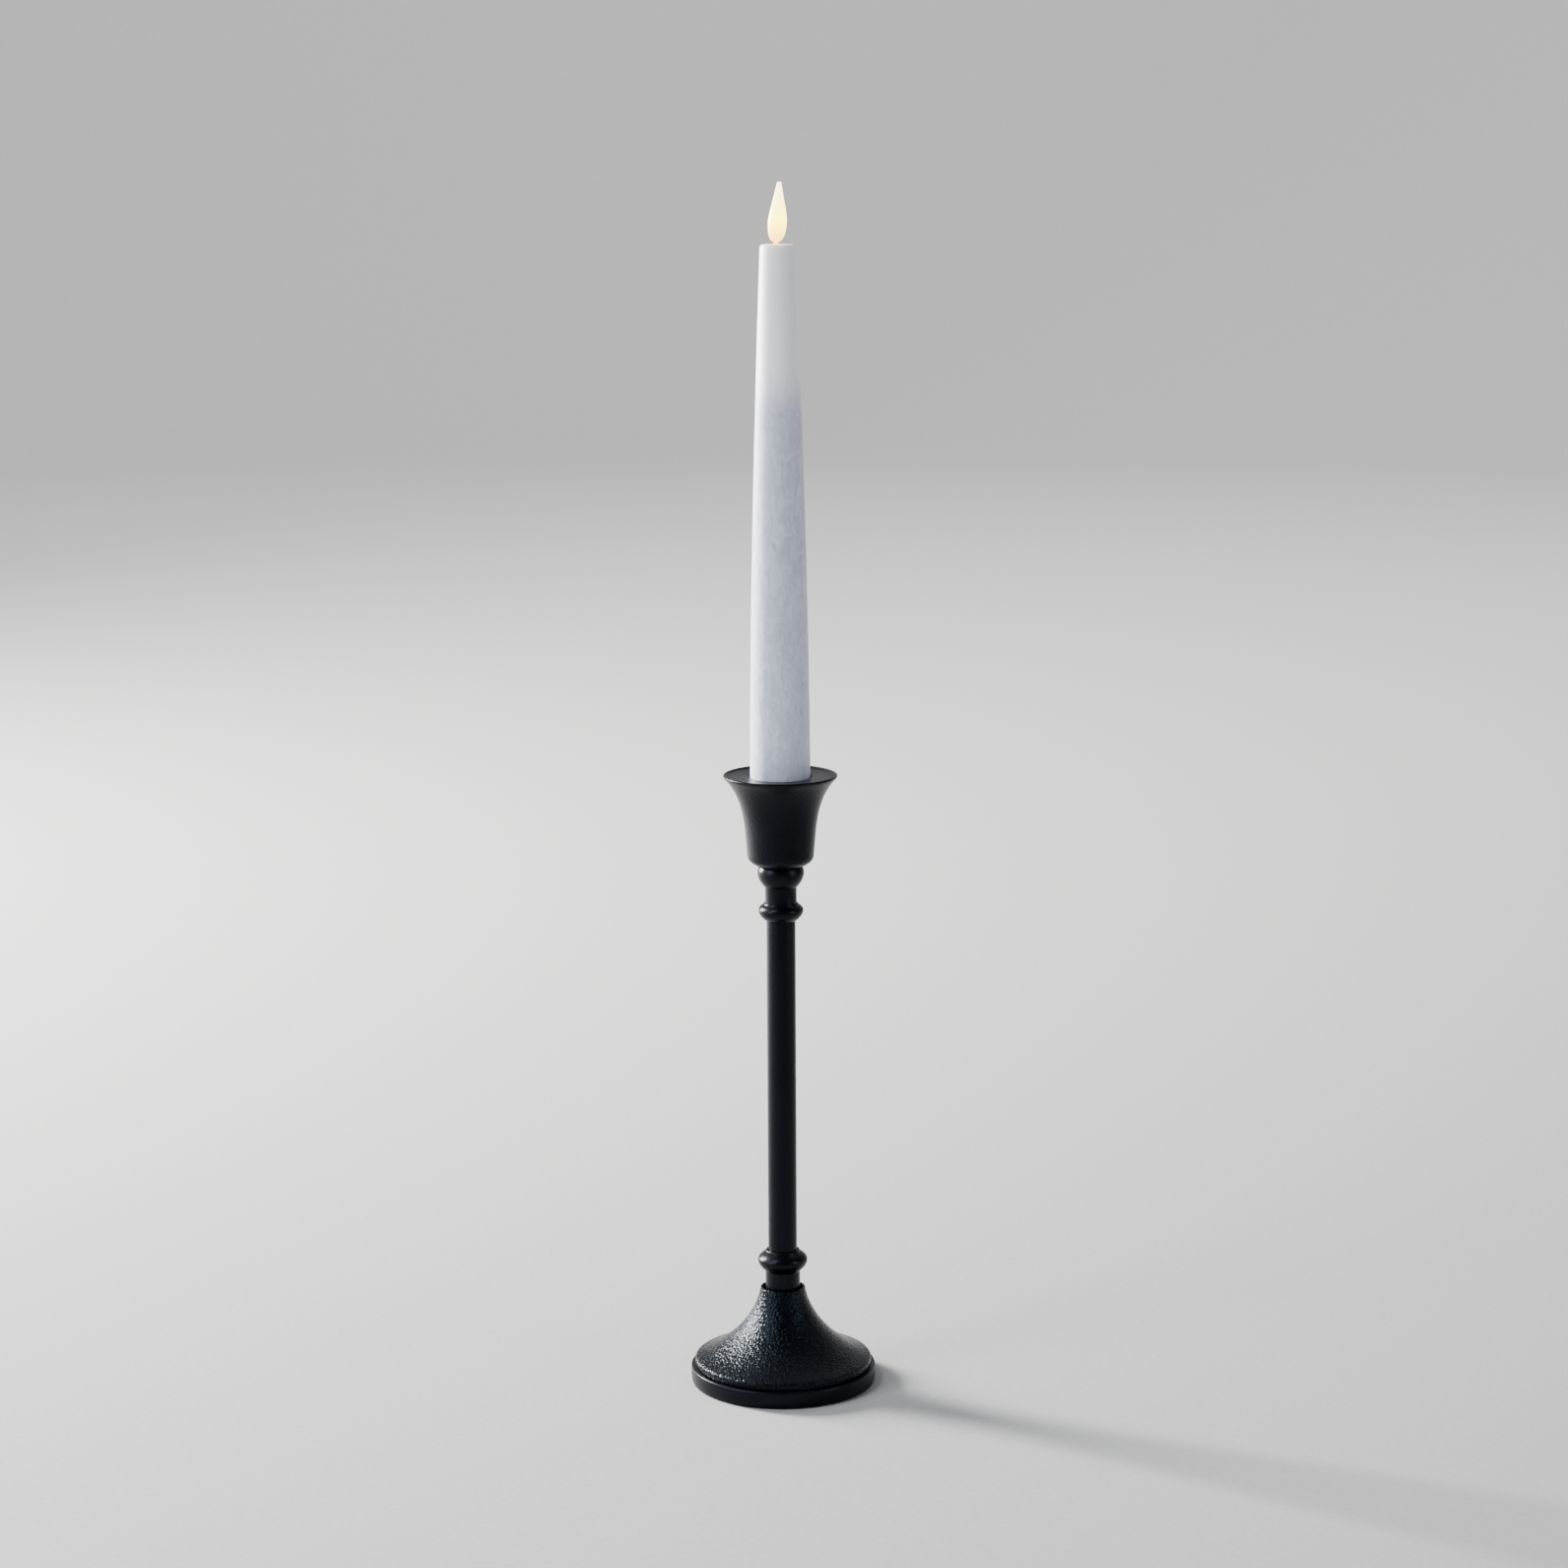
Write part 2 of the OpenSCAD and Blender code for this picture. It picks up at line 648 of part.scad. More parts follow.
felt_pad();
foot_plate();
base_bell();
lower_collar();
stem_tube();
upper_collar();
cup_knop();
candle_cup();
tie_rod();
tie_nut();
tie_washer();
battery_tray();
switch_plate();
plate_screws();
switch_body();
switch_knob();
negative_plate();
negative_spring();
lower_cell();
upper_cell();
positive_contact();
return_strip();
wax_shell();
core_tube();
board_carrier();
driver_board();
chip_blob();
quartz_crystal();
board_capacitor();
chip_resistors();
positive_pin();
negative_pin();
positive_wire();
negative_wire();
flame_socket();
led_lamp();
flame_lens();
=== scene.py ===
"""A flameless LED taper candle in a turned black metal candlestick, in metres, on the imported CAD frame.

The turned pieces that show are rebuilt here as dense lathe meshes that follow the CAD pieces' boxes.
The pieces inside keep their CAD shapes, and every piece gets a procedural material.
"""
import math
import bmesh
import bpy
from mathutils import Matrix, Vector, noise


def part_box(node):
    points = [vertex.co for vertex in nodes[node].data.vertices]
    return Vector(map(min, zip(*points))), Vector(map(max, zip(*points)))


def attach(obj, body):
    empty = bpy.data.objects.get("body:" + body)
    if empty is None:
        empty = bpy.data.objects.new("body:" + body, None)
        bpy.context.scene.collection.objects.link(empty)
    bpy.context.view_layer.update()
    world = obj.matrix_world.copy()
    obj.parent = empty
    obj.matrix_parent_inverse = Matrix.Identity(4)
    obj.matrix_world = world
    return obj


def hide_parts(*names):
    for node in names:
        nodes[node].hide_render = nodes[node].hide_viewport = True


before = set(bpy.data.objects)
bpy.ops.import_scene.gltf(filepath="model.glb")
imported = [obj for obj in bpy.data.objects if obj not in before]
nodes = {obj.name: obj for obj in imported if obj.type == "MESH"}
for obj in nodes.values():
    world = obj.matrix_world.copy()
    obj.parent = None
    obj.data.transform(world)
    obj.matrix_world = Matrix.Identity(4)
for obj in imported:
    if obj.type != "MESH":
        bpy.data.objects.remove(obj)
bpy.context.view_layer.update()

MM = 0.001
TURN = 2 * math.pi
SEGMENTS = 144
NECK_X = -0.6  # mm, sideways place of the flame's neck
TIE_ROD_R = 3.1  # mm, hole down the stack for the tie rod
LENS_SEGMENTS = 96


def box_mm(node):
    """Lowest and highest corner of a CAD node, in millimetres."""
    low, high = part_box(node)
    return low / MM, high / MM


# ---------------------------------------------------------------- outlines

def curve(a, b, c, d, steps=14):
    """Points on a cubic curve through (r, z) control points."""
    points = []
    for i in range(steps + 1):
        t = i / steps
        s = 1 - t
        w = (s**3, 3 * s * s * t, 3 * s * t * t, t**3)
        points.append(tuple(sum(k * p[j] for k, p in zip(w, (a, b, c, d))) for j in (0, 1)))
    return points


def bead(start, r_mid, z_mid, end, steps=16):
    """Points on a turned bead that swells from start to r_mid and back to end."""
    points = []
    for i in range(-steps, steps + 1):
        u = abs(i) / steps
        r, z = start if i < 0 else end
        points.append((r_mid - (r_mid - r) * u * u, z_mid + (z - z_mid) * u))
    return points


def fillet(corner, before, after, radius, steps=5):
    """Points that round one corner of an outline, on the way from before to after."""
    c = Vector(corner)
    a = (Vector(before) - c).normalized() * radius
    b = (Vector(after) - c).normalized() * radius
    points = []
    for i in range(steps + 1):
        t = i / steps
        p = c + a * (1 - t) ** 2 + b * t * t
        points.append((p.x, p.y))
    return points


def rounded(corners, radius):
    """An outline whose inner corners are all rounded; corners are (r, z) or (r, z, own radius)."""
    points = [corners[0][:2]]
    for i in range(1, len(corners) - 1):
        own = corners[i][2] if len(corners[i]) > 2 else radius
        if own <= 0:
            points.append(corners[i][:2])
        else:
            points += fillet(corners[i][:2], corners[i - 1][:2], corners[i + 1][:2], own)
    points.append(corners[-1][:2])
    return points


# ---------------------------------------------------------------- meshes

def finish_mesh(name, bm, body, replaced, mat, sharp=math.radians(38)):
    """Turns a bmesh into a smooth-shaded piece that rides on a body and stands for CAD nodes."""
    bmesh.ops.recalc_face_normals(bm, faces=bm.faces)
    for face in bm.faces:
        face.smooth = True
    for edge in bm.edges:
        if len(edge.link_faces) == 2 and edge.calc_face_angle(0) > sharp:
            edge.smooth = False
    mesh = bpy.data.meshes.new(name)
    bm.to_mesh(mesh)
    bm.free()
    mesh.materials.append(mat)
    piece = bpy.data.objects.new(name, mesh)
    bpy.context.scene.collection.objects.link(piece)
    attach(piece, body)
    if replaced:
        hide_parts(*replaced)
    return piece


def rings_mesh(rings, closed, segments=SEGMENTS):
    """Skins rings of points; a ring of one point closes the skin at the axis."""
    bm = bmesh.new()
    loops = [[bm.verts.new(p) for p in ring] for ring in rings]
    pairs = list(zip(loops, loops[1:])) + ([(loops[-1], loops[0])] if closed else [])
    for low, high in pairs:
        for k in range(segments):
            j = (k + 1) % segments
            corners = [low[k % len(low)], low[j % len(low)], high[j % len(high)], high[k % len(high)]]
            unique = list(dict.fromkeys(corners))
            if len(unique) > 2:
                bm.faces.new(unique)
    return bm


def lathe(outline, closed=False, shift=None, swell=None, segments=SEGMENTS):
    """Turns an (r, z) outline in millimetres round Z.

    shift(z, i) moves ring i sideways as (x, y); swell(angle, z) is added to the radius."""
    rings = []
    for i, (r, z) in enumerate(outline):
        dx, dy = shift(z, i) if shift else (0.0, 0.0)
        if r < 1e-6:
            rings.append([Vector((dx, dy, z)) * MM])
            continue
        ring = []
        for k in range(segments):
            a = TURN * k / segments
            rr = r + (swell(a, z) if swell else 0.0)
            ring.append(Vector((dx + rr * math.cos(a), dy + rr * math.sin(a), z)) * MM)
        rings.append(ring)
    return rings_mesh(rings, closed, segments)


# ---------------------------------------------------------------- materials

class Shader:
    """Builds one procedural material from nodes."""

    def __init__(self, name):
        self.mat = bpy.data.materials.new(name)
        self.mat.use_nodes = True
        self.tree = self.mat.node_tree
        self.bsdf = self.tree.nodes["Principled BSDF"]
        self.place = self.tree.nodes.new("ShaderNodeTexCoord").outputs["Object"]

    def node(self, kind, inputs=None, **settings):
        made = self.tree.nodes.new(kind)
        for key, value in settings.items():
            setattr(made, key, value)
        for key, value in (inputs or {}).items():
            self.put(made.inputs[key], value)
        return made

    def put(self, socket, value):
        if isinstance(value, bpy.types.NodeSocket):
            self.tree.links.new(value, socket)
        else:
            socket.default_value = value

    def set(self, **inputs):
        """Sets sockets of the main shader; underscores stand for spaces."""
        for key, value in inputs.items():
            self.put(self.bsdf.inputs[key.replace("_", " ")], value)

    def stretched(self, scale):
        mapping = self.node("ShaderNodeMapping", {"Vector": self.place, "Scale": scale})
        return mapping.outputs["Vector"]

    def noise(self, scale, detail=4.0, rough=0.55, warp=0.0, vector=None):
        n = self.node("ShaderNodeTexNoise", {
            "Vector": vector or self.place, "Scale": scale, "Detail": detail,
            "Roughness": rough, "Distortion": warp})
        return n.outputs["Fac"]

    def cells(self, scale, feature="F1", vector=None, smooth=None):
        n = self.node("ShaderNodeTexVoronoi", {"Vector": vector or self.place, "Scale": scale},
                      feature=feature)
        if smooth is not None:
            n.inputs["Smoothness"].default_value = smooth
        return n.outputs["Distance"]

    def span(self, value, low, high, to_low=0.0, to_high=1.0, smooth=False):
        n = self.node("ShaderNodeMapRange", {
            "Value": value, "From Min": low, "From Max": high, "To Min": to_low, "To Max": to_high})
        if smooth:
            n.interpolation_type = "SMOOTHSTEP"
        return n.outputs["Result"]

    def math(self, how, a, b=0.0):
        n = self.tree.nodes.new("ShaderNodeMath")
        n.operation = how
        self.put(n.inputs[0], a)
        self.put(n.inputs[1], b)
        return n.outputs[0]

    def mix(self, factor, a, b, how="MIX"):
        n = self.tree.nodes.new("ShaderNodeMix")
        n.data_type = "RGBA"
        n.blend_type = how
        self.put(n.inputs[0], factor)
        self.put(n.inputs[6], a)
        self.put(n.inputs[7], b)
        return n.outputs[2]

    def ramp(self, factor, stops):
        n = self.node("ShaderNodeValToRGB", {"Fac": factor})
        elements = n.color_ramp.elements
        while len(elements) < len(stops):
            elements.new(0.5)
        for element, (where, tint) in zip(elements, stops):
            element.position = where
            element.color = tint
        return n.outputs["Color"]

    def bump(self, *layers):
        """Each layer is (height, strength, depth in metres)."""
        normal = None
        for height, strength, depth in layers:
            n = self.node("ShaderNodeBump", {"Height": height, "Strength": strength, "Distance": depth})
            if normal:
                self.tree.links.new(normal, n.inputs["Normal"])
            normal = n.outputs["Normal"]
        self.put(self.bsdf.inputs["Normal"], normal)

    def height(self):
        """Height above the floor, in metres."""
        return self.node("ShaderNodeSeparateXYZ", {"Vector": self.place}).outputs["Z"]


def rgb(r, g, b):
    return (r, g, b, 1.0)


def black_metal(name, grain, rough_mid, cool):
    """Satin black lacquer over metal.

    grain is the strength of the cast skin, rough_mid the middle roughness, and cool the tint of the gloss."""
    s = Shader(name)
    cloud = s.noise(55, 5, 0.6)
    fine = s.noise(2200, 3, 0.6)
    pebble = s.cells(1200, "SMOOTH_F1", smooth=0.7)
    hide = s.noise(820, 3, 0.55, 0.6)
    tint = s.mix(s.span(cloud, 0.35, 0.68), rgb(0.0008, 0.0009, 0.0016), rgb(0.0018, 0.0020, 0.0034))
    specks = s.span(s.noise(1900, 2, 0.5), 0.71, 0.76)
    tint = s.mix(s.math("MULTIPLY", specks, 0.10), tint, rgb(0.02, 0.023, 0.032))
    rough = s.math("ADD", s.span(cloud, 0.3, 0.7, rough_mid - 0.03, rough_mid + 0.03),
                   s.span(fine, 0.3, 0.7, -0.02, 0.03))
    s.set(Base_Color=tint, Roughness=rough, Metallic=0.0, Specular_IOR_Level=0.12)
    s.set(Specular_Tint=cool)
    s.bump((pebble, 0.75 * grain, 0.0004), (hide, 0.45 * grain, 0.0003), (fine, 0.05, 0.0001))
    return s.mat


def wax_material(z_bulkhead, z_top):
    """White translucent wax with painted light: above the bulkhead it is painted brighter and warmer, as if
    lit from inside by the flame module, and the top 50 mm carries a painted warm glow of the flame; below the
    bulkhead it is cooler, darker and mottled.
    """
    s = Shader("wax")
    height = s.height()
    # painted light: mask of the wax above the bulkhead, which is painted as lit from inside by the flame
    # module
    above = s.span(height, z_bulkhead - 0.008, z_bulkhead + 0.014, 0, 1, smooth=True)
    # painted light: mask of the warm glow the flame casts on the top 50 mm of the wax
    painted_flame_glow = s.span(height, z_top - 0.05, z_top, 0, 1, smooth=True)
    swirl_place = s.stretched((1.0, 1.0, 0.45))
    swirl = s.noise(330, 5, 0.62, 1.6, swirl_place)
    flakes = s.cells(230, "SMOOTH_F1", s.stretched((1.0, 1.0, 0.6)), 0.5)
    lower = s.mix(s.span(swirl, 0.32, 0.7), rgb(0.38, 0.395, 0.49), rgb(0.66, 0.68, 0.79))
    lower = s.mix(s.span(flakes, 0.05, 0.5, 0.0, 0.35), lower, rgb(0.50, 0.52, 0.62))
    # painted light: the upper colour is the wax painted brighter and warmer, as if lit from inside
    upper = s.mix(s.span(swirl, 0.32, 0.7), rgb(0.94, 0.885, 0.90), rgb(0.99, 0.94, 0.95))
    tint = s.mix(above, lower, upper)
    # painted light: the flame's warm glow mixed into the top of the wax
    tint = s.mix(s.math("MULTIPLY", painted_flame_glow, 0.4), tint, rgb(0.95, 0.88, 0.80))
    s.set(Base_Color=tint, Roughness=s.span(swirl, 0.3, 0.7, 0.40, 0.55), Specular_IOR_Level=0.45)
    s.set(Subsurface_Weight=0.55, Subsurface_Radius=(1.0, 0.8, 0.65), Subsurface_Scale=0.004)
    s.set(Coat_Weight=0.12, Coat_Roughness=0.3)
    skin = s.math("MULTIPLY", s.span(above, 0, 1, 1.0, 0.45), swirl)
    s.bump((skin, 0.6, 0.0004), (s.noise(60, 3, 0.5), 0.3, 0.0005), (s.noise(1400, 2, 0.5), 0.05, 0.0001))
    return s.mat


def flame_material(z_foot, z_tip):
    """Frosted light guide, brightest and yellow at its belly, paler towards the tip and its foot."""
    s = Shader("frosted_flame")
    along = s.span(s.height(), z_foot, z_tip)
    tint = s.ramp(along, [
        (0.00, rgb(1.00, 0.42, 0.06)), (0.16, rgb(1.00, 0.58, 0.06)), (0.40, rgb(1.00, 0.84, 0.03)),
        (0.62, rgb(1.00, 0.80, 0.16)), (1.00, rgb(1.00, 0.88, 0.66))])
    power = s.ramp(along, [
        (0.00, rgb(0.62, 0.62, 0.62)), (0.18, rgb(0.78, 0.78, 0.78)), (0.42, rgb(1.0, 1.0, 1.0)),
        (0.70, rgb(0.80, 0.80, 0.80)), (1.00, rgb(0.66, 0.66, 0.66))])
    frost = s.noise(700, 4, 0.6)
    s.set(Base_Color=rgb(0.45, 0.36, 0.20), Roughness=s.span(frost, 0.3, 0.7, 0.34, 0.46))
    s.set(Emission_Color=tint, Emission_Strength=s.math("MULTIPLY", power, 9.0))
    s.set(Subsurface_Weight=0.3, Subsurface_Scale=0.002)
    s.bump((frost, 0.1, 0.0001))
    return s.mat


def felt_material():
    s = Shader("felt")
    fibres = s.noise(1900, 6, 0.75, 1.5)
    clumps = s.noise(240, 4, 0.6)
    tint = s.mix(s.span(fibres, 0.35, 0.7), rgb(0.010, 0.010, 0.011), rgb(0.045, 0.045, 0.048))
    tint = s.mix(s.span(clumps, 0.45, 0.7, 0.0, 0.3), tint, rgb(0.02, 0.02, 0.022))
    s.set(Base_Color=tint, Roughness=0.95, Sheen_Weight=0.35, Sheen_Roughness=0.5, Specular_IOR_Level=0.2)
    s.bump((fibres, 0.8, 0.0004), (clumps, 0.4, 0.0006))
    return s.mat


def moulded(name, tint, darker, rough=0.42, texture=1.0, thin=0.0):
    """Injection-moulded plastic with a fine spark-eroded skin and faint flow marks."""
    s = Shader(name)
    skin = s.noise(1600, 3, 0.6)
    flow = s.noise(45, 3, 0.5, 1.0, s.stretched((1, 1, 0.25)))
    colour = s.mix(s.span(flow, 0.35, 0.7), darker, tint)
    s.set(Base_Color=colour, Roughness=s.span(skin, 0.3, 0.7, rough - 0.05, rough + 0.07))
    if thin:
        s.set(Subsurface_Weight=thin, Subsurface_Scale=0.0015)
    s.bump((skin, 0.16 * texture, 0.0001))
    return s.mat


def bare_metal(name, tint, darker, rough, stretch=(1, 1, 1), wear=0.5):
    """Plated or drawn metal with fine drawing lines along the squeezed axis and dull patches."""
    s = Shader(name)
    lines = s.noise(900, 4, 0.65, 0.0, s.stretched(stretch))
    patches = s.noise(160, 4, 0.6)
    colour = s.mix(s.span(patches, 0.4, 0.7, 0.0, wear), tint, darker)
    gloss = s.math("ADD", s.span(lines, 0.3, 0.7, rough - 0.07, rough + 0.07),
                   s.span(patches, 0.4, 0.7, 0, 0.1))
    s.set(Base_Color=colour, Metallic=1.0, Roughness=gloss)
    s.bump((lines, 0.12, 0.00005), (patches, 0.05, 0.0001))
    return s.mat


def cell_material(z_low, length):
    """Battery sleeve: dark green body, a plain copper band by the raised end, and bare steel ends."""
    s = Shader("cell_sleeve")
    xyz = s.node("ShaderNodeSeparateXYZ", {"Vector": s.place})
    local = s.math("SUBTRACT", xyz.outputs["Z"], z_low)
    second = s.span(local, length - 1e-5, length + 1e-5)
    along = s.math("DIVIDE", s.math("SUBTRACT", local, s.math("MULTIPLY", second, length)), length)
    off_axis = s.math("POWER", s.math("ADD", s.math("POWER", xyz.outputs["X"], 2.0),
                                     s.math("POWER", xyz.outputs["Y"], 2.0)), 0.5)
    bare = s.math("LESS_THAN", off_axis, 0.0046)
    band = s.math("GREATER_THAN", along, 0.74)
    line = s.math("MULTIPLY", s.math("GREATER_THAN", along, 0.725), s.math("LESS_THAN", along, 0.74))
    scuff = s.noise(500, 5, 0.7, 0.0, s.stretched((1, 1, 0.2)))
    body = s.mix(s.span(scuff, 0.6, 0.75, 0.0, 0.35), rgb(0.020, 0.085, 0.060), rgb(0.09, 0.15, 0.12))
    copper = s.mix(s.span(scuff, 0.4, 0.7), rgb(0.55, 0.30, 0.13), rgb(0.66, 0.38, 0.18))
    colour = s.mix(band, body, copper)
    colour = s.mix(line, colour, rgb(0.75, 0.72, 0.62))
    colour = s.mix(bare, colour, rgb(0.62, 0.62, 0.61))
    s.set(Base_Color=colour, Metallic=s.math("MAXIMUM", bare, s.math("MULTIPLY", band, 0.8)),
          Roughness=s.span(scuff, 0.3, 0.75, 0.22, 0.42))
    s.set(Coat_Weight=0.3, Coat_Roughness=0.15)
    s.bump((scuff, 0.06, 0.0001))
    return s.mat


def board_material():
    """Green solder mask with raised tracks, tinned pads and glass-fibre weave showing faintly."""
    s = Shader("board_green")
    across = s.node("ShaderNodeMapping", {"Vector": s.place, "Rotation": (0, math.pi / 2, 0)})
    tracks = s.node("ShaderNodeTexBrick", {
        "Vector": across.outputs["Vector"],
        "Scale": 260.0, "Mortar Size": 0.07, "Color1": rgb(0, 0, 0), "Color2": rgb(0.25, 0.25, 0.25),
        "Mortar": rgb(1, 1, 1)}, offset=0.37).outputs["Color"]
    weave = s.noise(1300, 2, 0.4, 0.0)
    pads = s.math("LESS_THAN", s.cells(330), 0.17)
    mask = s.mix(tracks, rgb(0.012, 0.085, 0.040), rgb(0.030, 0.17, 0.075))
    colour = s.mix(s.span(weave, 0.35, 0.7, 0.0, 0.25), mask, rgb(0.02, 0.11, 0.06))
    colour = s.mix(pads, colour, rgb(0.70, 0.68, 0.62))
    s.set(Base_Color=colour, Metallic=pads, Roughness=s.span(weave, 0.3, 0.7, 0.24, 0.34))
    s.bump((tracks, 0.3, 0.00004))
    return s.mat


def rubbery(name, tint, darker):
    s = Shader(name)
    dust = s.noise(800, 4, 0.7)
    colour = s.mix(s.span(dust, 0.45, 0.75, 0.0, 0.5), tint, darker)
    s.set(Base_Color=colour, Roughness=s.span(dust, 0.3, 0.7, 0.38, 0.55), Specular_IOR_Level=0.4)
    s.bump((dust, 0.08, 0.0001))
    return s.mat


def lamp_material(z_low):
    """Clear resin bead over yellow phosphor that glows, with tinned leads below."""
    s = Shader("lamp_phosphor")
    height = s.height()
    bead = s.span(height, z_low - 0.0001, z_low + 0.0001)
    grain = s.noise(2500, 3, 0.6)
    phosphor = s.mix(s.span(grain, 0.35, 0.65), rgb(0.95, 0.66, 0.18), rgb(1.0, 0.80, 0.34))
    colour = s.mix(bead, rgb(0.70, 0.70, 0.69), phosphor)
    s.set(Base_Color=colour, Metallic=s.math("SUBTRACT", 1.0, bead),
          Roughness=s.span(grain, 0.3, 0.7, 0.2, 0.32))
    s.set(Emission_Color=rgb(1.0, 0.72, 0.36), Emission_Strength=s.math("MULTIPLY", bead, 3.0))
    s.bump((grain, 0.05, 0.0001))
    return s.mat


# ---------------------------------------------------------------- candlestick

def foot_plate(metal):
    low, high = box_mm("foot_plate")
    bell_low = box_mm("base_bell")[0]
    r, top, hub_r, bore = high.x, bell_low.z, 12.0, TIE_ROD_R
    recess_r, recess_top = 9.0, high.z - 3
    felt_high = box_mm("felt_pad")[1]
    outline = rounded([
        (bore, recess_top), (recess_r, recess_top), (recess_r, felt_high.z), (felt_high.x + 0.1, felt_high.z),
        (felt_high.x + 0.1, low.z, 0.15), (r - 0.35, low.z, 0.4), (r, low.z + 1.6, 0.9), (r, top, 0.62),
        (hub_r, top), (hub_r, high.z, 0.4), (bore, high.z)], 0)
    return finish_mesh("foot_plate_turned", lathe(outline, closed=True), "candlestick", ["foot_plate"],
                       metal)


def base_bell(metal):
    low, high = box_mm("base_bell")
    r, top, foot = high.x, high.z, low.z
    seat = top - 3
    lip = 8.4
    flare = foot + 3.1
    outside = curve((lip, top - 0.35), (lip + 1.2, top - 9.4), (18.6, flare + 4.85), (r - 0.6, flare), 44)
    inside = curve((6.5, seat - 3.4), (8, seat - 10), (17.6, foot + 6.2), (r - 3.3, foot), 20)
    edge = [(r - 0.25, flare - 0.28), (r - 0.06, flare - 0.62), (r, flare - 1.0), (r, foot + 0.8),
            (r - 0.05, foot + 0.6), (r - 0.25, foot + 0.45), (r - 1.0, foot + 0.4), (r - 1.0, foot)]
    rim = [(7.5, seat), (7.5, top - 0.35), (7.58, top - 0.12), (7.75, top), (lip - 0.35, top),
           (lip - 0.1, top - 0.12)]
    outline = [(TIE_ROD_R, seat)] + rim + outside + edge + list(reversed(inside))
    outline.append((TIE_ROD_R, seat - 3.4))
    return finish_mesh("base_bell_cast", lathe(outline, closed=True), "candlestick", ["base_bell"],
                       metal)


def lower_collar(metal):
    low, high = box_mm("lower_collar")
    neck, bead_z, top = 6.45, high.z - 3.8, high.z
    stem_r = box_mm("stem_tube")[1].x
    outline = [(TIE_ROD_R, low.z), (neck, low.z), (neck, bead_z - 4.5),
               (neck + 0.02, bead_z - 4.28), (neck + 0.12, bead_z - 4.14)]
    outline += bead((neck + 0.22, bead_z - 4.1), high.x, bead_z, (6.75, bead_z + 2.88))
    outline += [(6.58, bead_z + 2.9), (6.46, bead_z + 2.98), (6.42, bead_z + 3.15), (6.38, top - 0.34),
                (6.27, top - 0.12), (6.05, top)]
    outline += [(stem_r + 0.12, top), (stem_r + 0.05, top - 0.1), (stem_r + 0.05, top - 4.5),
                (TIE_ROD_R, top - 4.5)]
    return finish_mesh("lower_collar_turned", lathe(outline, closed=True), "candlestick", ["lower_collar"],
                       metal)


def stem_tube(metal):
    low, high = box_mm("stem_tube")
    r, wall = high.x, 1.2
    steps = 60
    outside = [(r, low.z + (high.z - low.z) * i / steps) for i in range(steps + 1)]
    outline = outside + [(r - wall, high.z), (r - wall, low.z)]
    return finish_mesh("stem_tube_drawn", lathe(outline, closed=True), "candlestick", ["stem_tube"],
                       metal)


def upper_collar(metal):
    low, high = box_mm("upper_collar")
    neck, bead_z, bead_top = 5.85, low.z + 3.9, low.z + 6
    stem_r = box_mm("stem_tube")[1].x
    outline = [(stem_r + 0.05, low.z + 0.06), (stem_r + 0.2, low.z)]
    outline += bead((5.75, low.z), high.x, bead_z, (6.62, bead_top))
    outline += [(6.45, bead_top + 0.02), (6.38, bead_top + 0.12), (6.37, bead_top + 0.34),
                (6.3, bead_top + 0.54), (6.12, bead_top + 0.66), (5.96, bead_top + 0.7),
                (neck + 0.02, bead_top + 0.78),
                (neck, bead_top + 0.95), (neck, high.z - 0.25), (neck + 0.06, high.z)]
    outline += [(TIE_ROD_R, high.z), (TIE_ROD_R, low.z + 4.4), (stem_r + 0.05, low.z + 4.4)]
    return finish_mesh("upper_collar_turned", lathe(outline, closed=True), "candlestick", ["upper_collar"],
                       metal)


def cup_knop(metal):
    low, high = box_mm("cup_knop")
    outline = [(TIE_ROD_R, low.z), (5.9, low.z), (6.0, low.z + 0.04)]
    outline += bead((6.08, low.z + 0.12), high.x, low.z + 5.5, (7.92, high.z - 0.08))[1:]
    outline += [(7.8, high.z), (TIE_ROD_R, high.z)]
    return finish_mesh("cup_knop_turned", lathe(outline, closed=True), "candlestick", ["cup_knop"],
                       metal)


def candle_cup(metal):
    low, high = box_mm("candle_cup")
    rim_r, rim, foot = high.x, high.z, low.z
    pan = rim - 0.6
    hole = 11.3
    floor_z = box_mm("battery_tray")[0].z - 0.1
    bore = 3.0
    flare = curve((12.2, foot + 3.5), (13.2, foot + 14), (13, foot + 25), (rim_r - 0.3, rim - 1.15), 40)
    outline = [(bore, foot), (7.9, foot), (8.1, foot + 0.02), (8.6, foot + 0.18), (9.4, foot + 0.5),
               (10.2, foot + 0.95), (10.95, foot + 1.5), (11.5, foot + 2.05), (11.88, foot + 2.62)]
    outline += flare
    lip = 0.5
    outline += [(rim_r - lip * (1 - math.cos(math.radians(a))), rim - lip * (1 - math.sin(math.radians(a))))
                for a in range(-30, 151, 15)]
    outline += [(rim_r - 1.25, rim - 0.5), (rim_r - 1.8, pan), (hole + 1.1, pan), (hole + 0.5, pan - 0.12),
                (hole + 0.14, pan - 0.38), (hole, pan - 0.75)]
    outline += [(hole, floor_z), (bore, floor_z)]
    return finish_mesh("candle_cup_spun", lathe(outline, closed=True), "candlestick", ["candle_cup"],
                       metal)


def felt_pad(mat):
    low, high = box_mm("felt_pad")
    r = high.x

    def frayed(a, z):
        return -0.22 * abs(noise.noise(Vector((9 * math.cos(a), 9 * math.sin(a), z)) * 2.2)) - 0.02

    outline = [(0, low.z), (r * 0.5, low.z), (r - 0.6, low.z), (r - 0.25, low.z + 0.05),
               (r - 0.05, low.z + 0.22),
               (r, low.z + 0.42), (r - 0.06, high.z - 0.1), (r - 0.3, high.z), (r * 0.5, high.z), (0, high.z)]
    bm = lathe(outline, swell=frayed, segments=180)
    return finish_mesh("felt_pad_cut", bm, "candlestick", ["felt_pad"], mat)


# ---------------------------------------------------------------- candle

